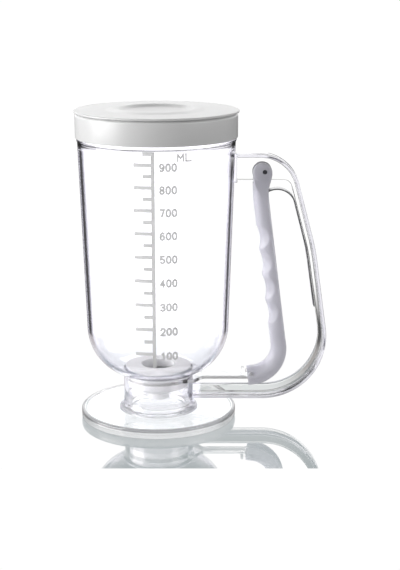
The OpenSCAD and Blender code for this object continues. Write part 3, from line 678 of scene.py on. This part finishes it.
gasket = turned("seat_gasket_ring", rounded_loop([
    (neck_bore_r + 0.05, LEDGE_Z + 0.02), (SEAT_R - 0.4, LEDGE_Z + 0.02),
    (SEAT_R - 0.4, FLANGE_Z - 0.02), (neck_bore_r + 0.05, FLANGE_Z - 0.02)], 0.2))
finish_piece(gasket, "jug", silicone, ["seat_gasket"])
gate_seal = turned("gate_seal_ring", rounded_loop([
    (HOLE_R + 0.85, GATE_ROOM_Z), (HOLE_R + 2.95, GATE_ROOM_Z),
    (HOLE_R + 2.95, GATE_TOP_Z + 1.35), (HOLE_R + 0.85, GATE_TOP_Z + 1.35)], 0.4))
finish_piece(gate_seal, "jug", silicone, ["gate_seal"])

NOZZLE_BORE_R, NOZZLE_R, NOZZLE_TOP_R, NOZZLE_Z, NOZZLE_NECK_Z = 5.2, 7.2, 19.8, 12.0, 17.8
GUIDE_R = (13.2, 15.6)
nozzle = turned("nozzle_cone", rounded_loop([
    (NOZZLE_BORE_R, NOZZLE_Z, 0.5), (NOZZLE_R, NOZZLE_Z, 0.5), (NOZZLE_R, NOZZLE_NECK_Z, 0.8),
    (11.8, NOZZLE_NECK_Z, 0.8), (NOZZLE_TOP_R, 21.5, 0.8), (NOZZLE_TOP_R, GUIDE_Z, 0.2),
    (HOLE_R, GUIDE_Z, 0.2), (NOZZLE_BORE_R, NOZZLE_NECK_Z, 2)], 0.3, steps=5))
guide = turned("guide", [Vector(p) for p in (
    (GUIDE_R[0], GUIDE_Z - 0.4), (GUIDE_R[1], GUIDE_Z - 0.4),
    (GUIDE_R[1], GATE_ROOM_Z), (GUIDE_R[0], GATE_ROOM_Z))])
guide_way = slab("guide_way", (0, -GATE_WAY_HALF_W, GUIDE_Z + 0.001), (22, GATE_WAY_HALF_W, 29), ease=0)
combine(guide, [guide_way], "DIFFERENCE")
combine(nozzle, [guide], "UNION")
finish_piece(nozzle, "jug", valve_plastic, ["nozzle"])


# ---- gate slide ----

GATE_HALF_W, GATE_EASE, SHOULDER_X, SHOULDER_ROUND = 13, 0.3, 24, 1.5
TAIL_HALF_W, TAIL_X, TAIL_END_X = 4.5, 29.5, 60.2
gate_outline = ([Vector((GATE_HALF_W * math.cos(a), GATE_HALF_W * math.sin(a)))
                 for a in (math.pi / 2 + math.pi * i / 48 for i in range(49))]
                + [Vector(p) for p in (
                    (SHOULDER_X, -GATE_HALF_W), (TAIL_X, -TAIL_HALF_W), (TAIL_END_X, -TAIL_HALF_W),
                    (TAIL_END_X, TAIL_HALF_W), (TAIL_X, TAIL_HALF_W), (SHOULDER_X, GATE_HALF_W))])
gate_outline = rounded_loop(
    [(p.x, p.y, SHOULDER_ROUND if p.x in (SHOULDER_X, TAIL_X) else 0) for p in gate_outline], 0)
inner_outline = []
for i, p in enumerate(gate_outline):
    along = unit(gate_outline[(i + 1) % len(gate_outline)] - gate_outline[i - 1])
    inner_outline.append(p - square_to(along) * GATE_EASE)
gate = lofted("gate_slide_strip", [
    [(p.x, p.y, z) for p in outline] for outline, z in (
        (inner_outline, GATE_Z), (gate_outline, GATE_Z + GATE_EASE),
        (gate_outline, GATE_TOP_Z - GATE_EASE), (inner_outline, GATE_TOP_Z))])

# Two prongs round the link pin, with a floor between them, and the tab with its gusset
PRONG_T, PRONG_GAP, TAB_T, TAB_H = 1.75, 2.8, 1.8, 5.0
tab_x = LINK[0] - 6.0
hook = []
for side, foot in ((-1, 0.4), (1, 1.5)):
    prong_x = LINK[0] + side * (PRONG_GAP + PRONG_T) / 2
    hook.append(slab("prong", (prong_x - PRONG_T / 2, -TAIL_HALF_W, GATE_Z + foot),
                     (prong_x + PRONG_T / 2, TAIL_HALF_W, LINK[1] + 1.0)))
hook.append(slab("hook_floor", (LINK[0] - 2.6, -4.4, GATE_Z + 1.5),
                 (LINK[0] + 2.6, 4.4, LINK[1] - 1.65), ease=0.1))
hook.append(slab("tab", (tab_x, -2.1, GATE_TOP_Z - 0.4),
                 (tab_x + TAB_T, 2.1, GATE_TOP_Z + TAB_H), ease=0.45))
gusset = [Vector((tab_x - 2.4, GATE_TOP_Z - 0.2)), Vector((tab_x + 0.4, GATE_TOP_Z - 0.2)),
          Vector((tab_x + 0.4, GATE_TOP_Z + 2.4))]
hook.append(lofted("gusset", [[(p.x, y, p.y) for p in gusset] for y in (-0.6, 0.6)]))
combine(gate, hook, "UNION")
finish_piece(gate, "gate", clear_gate, ["gate_slide"])


# ---- lever ----

# Its section is a channel. The back is the closed side, which the fingers pull
GRIP_LEAN, LEVER_BEND_R = math.radians(7.3), 19.0
LEVER_BACK, LEVER_DEPTH, LEVER_END_DEPTH, END_RUN = 5.3, 10.0, 11.8, 40
HEAD_BACK, HEAD_FRONT, HEAD_RUN = 6.3, 1.5, 13
LEVER_ROUND, LEVER_EDGE, SECTION_STEPS = 9.0, 0.3, 52
DENTS, DENT_START, DENT_PITCH, DENT_DEPTH, DENT_HALF_L, DENT_HALF_W = 4, 42.2, 17.1, 1.3, 7.6, 7.2
grip_dir = Vector((math.sin(GRIP_LEAN), -math.cos(GRIP_LEAN)))
end_dir = Vector((math.cos(GRIP_LEAN), math.sin(GRIP_LEAN)))
head_c = Vector((HINGE[0] - 1.5, HINGE[1] - 0.5))
grip_top = head_c + Vector((-1.0, -12.9))
lever_end = Vector((59.6, 28.35))
lever_corner = meeting(grip_top, grip_dir, lever_end, end_dir)
lever_line = spaced(rounded_line(
    [head_c + Vector((0.2, 0)), grip_top, lever_corner, lever_end], [60, LEVER_BEND_R], 24), 0.5)


def lever_rings(line, section):
    """Rings of a section that changes with the distance s along the lever's middle line."""
    rings, s = [], 0.0
    total = sum((b - a).length for a, b in zip(line, line[1:]))
    for i, p in enumerate(line):
        if i:
            s += (p - line[i - 1]).length
        rings.append(ring_at(p, direction_at(line, i), section(s, total)))
    return rings


def dent(s, x):
    """Depth of the oval finger dents at distance s along the lever, x in from its back's crown."""
    k = max(0, min(DENTS - 1, round((s - DENT_START) / DENT_PITCH)))
    along = (s - DENT_START - DENT_PITCH * k) / DENT_HALF_L
    return DENT_DEPTH * max(0.0, 1 - along ** 2 - (x / DENT_HALF_W) ** 2)


def lever_section(s, total):
    """The lever's outside: the back rounds over, nearly flat at the head and full further down."""
    to_end, head = eased(1 - (total - s) / END_RUN), eased(1 - s / HEAD_RUN)
    back = LEVER_BACK + (HEAD_BACK - LEVER_BACK) * head
    front = -(LEVER_DEPTH - LEVER_BACK) - (LEVER_END_DEPTH - LEVER_DEPTH) * to_end - HEAD_FRONT * head
    rounding = LEVER_ROUND * (0.12 + 0.88 * eased((s - 6) / 14))
    half_w = LEVER_W / 2
    flat_w = half_w - LEVER_EDGE
    side = []
    for k in range(SECTION_STEPS + 1):
        a = -math.pi / 2 + math.pi * k / SECTION_STEPS
        x = rounding * (1 - math.cos(a))
        sunk = dent(s, x)
        side.append((max(back - x - sunk * math.cos(a), front + 0.35),
                     flat_w * math.sin(a) - sunk * math.sin(a)))
    return [(front + LEVER_EDGE, -half_w), (front, -half_w + LEVER_EDGE), (front, flat_w),
            (front + LEVER_EDGE, half_w)] + side[::-1]


lever = lofted("lever_grip", lever_rings(lever_line, lever_section))
# The round head over the hinge, as (half width, radius)
HEAD_ROUNDS = [(4.8, 6.4), (5.4, 6.28), (5.85, 6.05), (6.2, 5.75), (6.42, 5.4), (6.5, 5.0)]
head_ring = [Vector((math.cos(a), math.sin(a))) for a in turns(96)]
head = lofted("lever_head", [
    [(head_c.x + p.x * r, y, head_c.y + p.y * r) for p in head_ring]
    for y, r in [(-y, r) for y, r in reversed(HEAD_ROUNDS)] + HEAD_ROUNDS])
combine(lever, [head], "UNION", crease=40)

CHANNEL_OPEN, CHANNEL_CHAMFER, BACK_T, DENT_T = 14, 4.2, 2.3, 1.0


def channel_section(s, total):
    """The channel's inside, with chamfered corners, shallower behind the finger dents."""
    floor = LEVER_BACK - BACK_T - (DENT_T if 30 < s < total - 34 else 0)
    half_w = LEVER_W / 2 - LEVER_T
    return [(-CHANNEL_OPEN, -half_w), (-CHANNEL_OPEN, half_w), (floor - CHANNEL_CHAMFER, half_w),
            (floor, half_w - CHANNEL_CHAMFER), (floor, -half_w + CHANNEL_CHAMFER),
            (floor - CHANNEL_CHAMFER, -half_w)]


channel_line = spaced([lever_line[0] + Vector((0.5, 12))] + lever_line, 2.0)
channel_line.append(lever_line[-1] - end_dir * 3)
channel = lofted("channel", lever_rings(channel_line, channel_section))
fork = slab("fork", (40, -4.9, 157.8), (90, 4.9, 180), ease=0)
hinge_bore = bar("hinge_bore", HINGE, PIN_R, 20, ease=0.01)
link_bore = bar("link_bore", LINK, LINK_R, 20, ease=0.01)
combine(lever, [channel, fork, hinge_bore, link_bore], "DIFFERENCE", crease=40)
finish_piece(lever, "lever", lever_plastic, ["lever"])

PIN_L = LEVER_W - 0.3
hinge_pin = bar("hinge_pin_bar", HINGE, PIN_R, PIN_L, ease=0.35)
finish_piece(hinge_pin, "lever", dark_steel, ["hinge_pin"])
link_pin = bar("link_pin_bar", LINK, LINK_R, PIN_L, ease=0.3)
finish_piece(link_pin, "lever", pale_steel, ["link_pin"])


# ---- leaf spring ----

SPRING_T, SPRING_W, SPRING_EASE = 0.9, 8.3, 0.2
SPRING_LOW_Z, ARCH_LEAN, ARCH_R = 75.6, math.radians(37), 12
leg_bend = limb_bend + bend_inward * (LIMB_DEPTH + 0.05 + SPRING_T / 2)
arch_dir = Vector((-math.cos(ARCH_LEAN), -math.sin(ARCH_LEAN)))
spring_hook = Vector((HINGE[0] - 3.6, HINGE[1] - 17.4))
arch_corner = meeting(spring_hook, arch_dir, leg_bend, high_dir)
spring_line = spaced(rounded_line(
    [at_height(leg_bend, low_dir, SPRING_LOW_Z), leg_bend, arch_corner, spring_hook,
     spring_hook + Vector((-0.6, -2.2))], [LIMB_R, ARCH_R, 1], 24), 1.5)
half_t, half_w = SPRING_T / 2, SPRING_W / 2
flat_t, flat_w = half_t - SPRING_EASE, half_w - SPRING_EASE
spring_section = [(half_t, -flat_w), (half_t, flat_w), (flat_t, half_w), (-flat_t, half_w),
                  (-half_t, flat_w), (-half_t, -flat_w), (-flat_t, -half_w), (flat_t, -half_w)]
spring = lofted("leaf_spring_strip", [
    ring_at(p, direction_at(spring_line, i), spring_section) for i, p in enumerate(spring_line)])
spring.data.materials.append(steel)
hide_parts("leaf_spring")
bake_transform(spring)


# ---- measuring scale ----

MARK_W, MARK_T, LONG_MARK, SHORT_MARK = 2.0, 2.3, 10.9, 5.2
PRINT_LIFT, PRINT_T, PATCH_STEP = 0.02, 0.12, 1.5
SCALE_FIRST_Z, SCALE_LAST_Z, SCALE_LINE_Z, SCALE_LINE_X = 55.4, 176.6, 45.0, 0.3
NUMBER_X, NUMBER_DROP, UNIT_X, UNIT_Z = 3.5, 1.6, 14.6, 181.0
WALL_SLOPE = (BODY_R - BODY_LOW_R) / (BEAD_Z - BOWL_Z)


def inside_r(z):
    """Inner radius of the tapered wall at height z."""
    return BODY_LOW_R + WALL_SLOPE * (z - BOWL_Z) - WALL_T


def mark_z(millilitres):
    """Height of a mark: each step holds the same share of the volume between 100 and 900."""
    first, last = inside_r(SCALE_FIRST_Z) ** 3, inside_r(SCALE_LAST_Z) ** 3
    grown = first + (last - first) * (millilitres - 100) / 800
    return SCALE_FIRST_Z + (grown ** (1 / 3) - inside_r(SCALE_FIRST_Z)) / WALL_SLOPE


def on_wall(x, z, lift):
    """A point of the wall's front whose distance round it from the middle is x."""
    r = wall_r(z) + lift
    return (r * math.sin(x / r), -r * math.cos(x / r), z)


def wall_patch(name, x0, x1, z0, z1):
    """A thin printed bar on the wall."""
    nx = max(1, math.ceil(abs(x1 - x0) / PATCH_STEP))
    nz = max(1, math.ceil((z1 - z0) / PATCH_STEP))
    points, faces = [], []
    for lift in (PRINT_LIFT, PRINT_T):
        points += [on_wall(x0 + (x1 - x0) * i / nx, z0 + (z1 - z0) * j / nz, lift)
                   for j in range(nz + 1) for i in range(nx + 1)]
    row, top = nx + 1, (nx + 1) * (nz + 1)
    for j in range(nz):
        for i in range(nx):
            a = j * row + i
            faces.append([a, a + row, a + row + 1, a + 1])
            faces.append([top + a, top + a + 1, top + a + row + 1, top + a + row])
    edge = ([i for i in range(nx)] + [j * row + nx for j in range(nz)]
            + [nz * row + i for i in range(nx, 0, -1)] + [j * row for j in range(nz, 0, -1)])
    for a, b in zip(edge, edge[1:] + edge[:1]):
        faces.append([a, b, top + b, top + a])
    return new_piece(name, points, faces)


def joined(pieces, name):
    """Several meshes as one object."""
    bm = bmesh.new()
    for piece in pieces:
        bm.from_mesh(piece.data)
    mesh = bpy.data.meshes.new(name)
    bm.to_mesh(mesh)
    bm.free()
    for piece in pieces:
        bpy.data.objects.remove(piece)
    whole = bpy.data.objects.new(name, mesh)
    bpy.context.scene.collection.objects.link(whole)
    return whole


marks = [wall_patch("line", -MARK_W, SCALE_LINE_X, SCALE_LINE_Z, mark_z(950) + MARK_T / 2)]
for millilitres in range(100, 951, 50):
    length = SHORT_MARK if millilitres % 100 else LONG_MARK
    z = mark_z(millilitres)
    marks.append(wall_patch("mark", -MARK_W - length, -MARK_W, z - MARK_T / 2, z + MARK_T / 2))
scale = joined(marks, "scale_marks")
finish_piece(scale, "jug", print_white, ["measuring_scale"])


# Plain stroke characters on a unit square
GLYPHS = {
    "0": [[(0.5, 1), (0.14, 0.9), (0, 0.66), (0, 0.34), (0.14, 0.1), (0.5, 0), (0.86, 0.1), (1, 0.34),
           (1, 0.66), (0.86, 0.9), (0.5, 1)]],
    "1": [[(0.2, 0.78), (0.6, 1), (0.6, 0)]],
    "2": [[(0, 0.74), (0.14, 0.93), (0.5, 1), (0.86, 0.93), (1, 0.72), (0.84, 0.48), (0, 0), (1, 0)]],
    "3": [[(0, 0.86), (0.42, 1), (0.86, 0.92), (0.96, 0.74), (0.8, 0.57), (0.42, 0.53)],
          [(0.42, 0.53), (0.86, 0.46), (1, 0.27), (0.86, 0.08), (0.42, 0), (0, 0.14)]],
    "4": [[(0.72, 0), (0.72, 1), (0, 0.3), (1, 0.3)]],
    "5": [[(0.94, 1), (0.1, 1), (0.04, 0.55), (0.5, 0.62), (0.88, 0.53), (1, 0.31), (0.86, 0.08),
           (0.44, 0), (0, 0.12)]],
    "6": [[(0.9, 0.9), (0.52, 1), (0.14, 0.84), (0, 0.5), (0, 0.28), (0.15, 0.07), (0.5, 0), (0.85, 0.07),
           (1, 0.3), (0.85, 0.53), (0.5, 0.6), (0.14, 0.5), (0, 0.3)]],
    "7": [[(0, 1), (1, 1), (0.42, 0)]],
    "8": [[(0.5, 0.53), (0.13, 0.62), (0.05, 0.77), (0.16, 0.94), (0.5, 1), (0.84, 0.94), (0.95, 0.77),
           (0.87, 0.62), (0.5, 0.53), (0.12, 0.43), (0, 0.25), (0.13, 0.06), (0.5, 0), (0.87, 0.06),
           (1, 0.25), (0.88, 0.43), (0.5, 0.53)]],
    "9": [[(0.1, 0.1), (0.48, 0), (0.86, 0.16), (1, 0.5), (1, 0.72), (0.85, 0.93), (0.5, 1), (0.15, 0.93),
           (0, 0.7), (0.15, 0.47), (0.5, 0.4), (0.86, 0.5), (1, 0.7)]],
    "M": [[(0, 0), (0, 1), (0.5, 0.35), (1, 1), (1, 0)]],
    "L": [[(0, 1), (0, 0), (1, 0)]],
}


def printed_stroke(name, line, width):
    """A printed stroke on the wall along points given as (distance round, height)."""
    line = spaced(line, 1.2)
    points, faces = [], []
    last = len(line) - 1
    for i, p in enumerate(line):
        before = unit(p - line[i - 1]) if i else None
        after = unit(line[i + 1] - p) if i < last else None
        along = unit((before or after) + (after or before))
        reach = width / 2 / max(0.6, along.dot(before or after))
        side = Vector((-along.y, along.x)) * reach
        if before is None:
            p = p - along * width * 0.35
        if after is None:
            p = p + along * width * 0.35
        points += [on_wall(q.x, q.y, lift) for q, lift in (
            (p + side, PRINT_LIFT), (p + side, PRINT_T), (p - side, PRINT_T), (p - side, PRINT_LIFT))]
    for i in range(last):
        for k in range(4):
            m = 4 * i + (k + 1) % 4
            faces.append([4 * i + k, m, m + 4, 4 * i + k + 4])
    faces += [[3, 2, 1, 0], [4 * last + k for k in range(4)]]
    return new_piece(name, points, faces)


def printed_text(words, x, z, height, width, gap, stroke):
    """Plain characters on the wall, with their left edge at x and their middle at z."""
    strokes = []
    for i, character in enumerate(words):
        left = x + i * (width + gap)
        for line in GLYPHS[character]:
            strokes.append(printed_stroke(f"glyph_{character}", [
                Vector((left + u * width, z + (v - 0.5) * height)) for u, v in line], stroke))
    return strokes


labels = []
for millilitres in range(100, 901, 100):
    labels += printed_text(str(millilitres), NUMBER_X, mark_z(millilitres) - NUMBER_DROP,
                           height=4.4, width=2.4, gap=1.45, stroke=1.3)
labels += printed_text("ML", UNIT_X, UNIT_Z, height=4.6, width=3.6, gap=1.7, stroke=1.05)
numbers = joined(labels, "scale_numbers")
finish_piece(numbers, "jug", print_white)


# ---- floor and light ----

# The clear pieces and the print on them cast no shadow
for piece in (stand, jug, gate, scale, numbers):
    piece.visible_shadow = False

# Two dark flags stand beside the white backdrop. Their angles are in radians from straight
# behind the jug, and clear plastic shows the backdrop THROUGH times as bright as it is
FLAG_START, FLAG_DARK, FLAG_END, FLAG_GONE = 0.30, 0.42, 0.72, 0.92
DARK, THROUGH, FLOOR_WHITE, SKY_WHITE = 0.06, 1.9, 1.0, 1.02

# The floor's mirror patch: whole up to GLOSS_R, gone at MATT_R and in front of GLOSS_FRONT
FLOOR_R, GLOSS_R, MATT_R, GLOSS_FRONT, FRONT_BLUR = 30000, 170, 230, 100.4, 0.4
MIRROR_COLOUR, MIRROR_GLOW, FLOOR_GLOW = (0.42, 0.395, 0.388, 1), (0.348, 0.388, 0.399, 1), grey(1.02)
NEAR_JUG = (0.08, 0.16)
FLOOR_SCATTERED, FLOOR_REFLECTED = 0.37, 0.06

# The backdrop's brightness by the height of a direction, 0 at the horizon and 1 straight up
ROOM_Z, ROOM_TOP, LIT_Z = (0.42, 0.60), 0.12, (0.0, 0.35)
SKY_SCATTERED, SKY_REFLECTED = 0.34, 1.6


def backdrop_share(tree, direction, inner=0.0):
    """1 behind the jug, DARK where the flags are and 1 again further round.

    The flags give clear plastic its dark edges. Up to inner metres beside the middle line
    counts as straight behind. The direction's X, Y and Z are returned too.
    """
    parts = add_node(tree, "ShaderNodeSeparateXYZ", {0: direction}).outputs
    beside = maths(tree, "SUBTRACT", maths(tree, "ABSOLUTE", parts["X"]), inner, clamp=True)
    angle = maths(tree, "ARCTAN2", beside, parts["Y"])
    share = maths(tree, "MAXIMUM", smooth_step(tree, angle, (FLAG_START, FLAG_DARK), 1.0, DARK),
                  smooth_step(tree, angle, (FLAG_END, FLAG_GONE)))
    return parts, share


floor = new_piece("floor", [(FLOOR_R * math.cos(a), FLOOR_R * math.sin(a), 0) for a in turns(64)],
                  [list(range(64))])
floor_material = bpy.data.materials.new("floor")
floor_material.use_nodes = True
ground = floor_material.node_tree
ground.nodes.remove(ground.nodes["Principled BSDF"])

# The floor is white all over: it mirrors the white backdrop near the jug, as far as a
# straight front edge, and glows further out
place = add_node(ground, "ShaderNodeTexCoord").outputs["Object"]
distance = add_node(ground, "ShaderNodeVectorMath", {0: place}, operation="LENGTH").outputs["Value"]
parts, behind_jug = backdrop_share(ground, place, BODY_R * MM)
patch = smooth_step(ground, distance, (GLOSS_R * MM, MATT_R * MM), 1.0, 0.0)
front = add_node(ground, "ShaderNodeMapRange", {
    "Value": parts["Y"], "From Min": -(GLOSS_FRONT + FRONT_BLUR) * MM,
    "From Max": -(GLOSS_FRONT - FRONT_BLUR) * MM}).outputs["Result"]
shiny = maths(ground, "MULTIPLY", patch, front)
mirror = mix_colours(ground, shiny, grey(0), MIRROR_COLOUR)
glow = mix_colours(ground, shiny, FLOOR_GLOW, MIRROR_GLOW)
# Clear plastic shows the floor dark where the flags are, but not near the jug, and
# reflections and diffuse light see it dim
near = smooth_step(ground, distance, NEAR_JUG, 1.0, 0.0)
through = maths(ground, "MULTIPLY", maths(ground, "MAXIMUM", near, behind_jug), THROUGH)
ray = add_node(ground, "ShaderNodeLightPath").outputs
dim = mix_numbers(ground, ray["Is Glossy Ray"], FLOOR_SCATTERED, FLOOR_REFLECTED)
seen_through = mix_numbers(ground, ray["Is Transmission Ray"], dim, through)
strength = mix_numbers(ground, ray["Is Camera Ray"], seen_through, FLOOR_WHITE)
gloss = add_node(ground, "ShaderNodeBsdfGlossy", {"Color": mirror, "Roughness": 0.02}).outputs["BSDF"]
emission = add_node(ground, "ShaderNodeEmission", {"Color": glow, "Strength": strength}).outputs["Emission"]
layers = add_node(ground, "ShaderNodeAddShader", {0: gloss, 1: emission})
ground.links.new(layers.outputs["Shader"], ground.nodes["Material Output"].inputs["Surface"])
floor.data.materials.append(floor_material)

LIGHT_AIM = Vector((0, 0, 0.1))


def area_light(name, azimuth, height, distance, size, power):
    """A square soft light. Azimuth 0 is in front of the jug, 90 is on the handle's side."""
    data = bpy.data.lights.new(name, "AREA")
    data.size = size
    data.energy = power
    lamp = bpy.data.objects.new(name, data)
    bpy.context.scene.collection.objects.link(lamp)
    around, up = math.radians(azimuth), math.radians(height)
    lamp.location = LIGHT_AIM + distance * Vector(
        (math.sin(around) * math.cos(up), -math.cos(around) * math.cos(up), math.sin(up)))
    lamp.rotation_euler = (LIGHT_AIM - lamp.location).to_track_quat("-Z", "Y").to_euler()


area_light("left", -74, 9, distance=1.1, size=0.9, power=17.5)
area_light("behind", 178, 44, distance=1.2, size=0.8, power=4.4)
area_light("right", 60, 20, distance=1.3, size=0.6, power=4)

# A white backdrop for what is seen directly, and one with the flags, bright near the horizon
# only, for what is seen through clear plastic. Reflections see a room that is brighter near
# the horizon, and all else gets the same room dimmed.
world = bpy.data.worlds.new("studio")
world.use_nodes = True
bpy.context.scene.world = world
sky = world.node_tree
direction = add_node(sky, "ShaderNodeTexCoord").outputs["Generated"]
parts, behind_jug = backdrop_share(sky, direction)
low = smooth_step(sky, parts["Z"], ROOM_Z, 1.0, ROOM_TOP)
lit = smooth_step(sky, parts["Z"], LIT_Z, 1.0, DARK)
through = maths(sky, "MULTIPLY", maths(sky, "MULTIPLY", behind_jug, lit), THROUGH)
ray = add_node(sky, "ShaderNodeLightPath").outputs
room = mix_numbers(sky, ray["Is Glossy Ray"], maths(sky, "MULTIPLY", low, SKY_SCATTERED),
                   maths(sky, "MULTIPLY", low, SKY_REFLECTED))
seen_through = mix_numbers(sky, ray["Is Transmission Ray"], room, through)
strength = mix_numbers(sky, ray["Is Camera Ray"], seen_through, SKY_WHITE)
backdrop = sky.nodes["Background"]
backdrop.inputs["Color"].default_value = (1, 1, 1, 1)
sky.links.new(strength, backdrop.inputs["Strength"])

bpy.context.scene.view_settings.view_transform = "Standard"
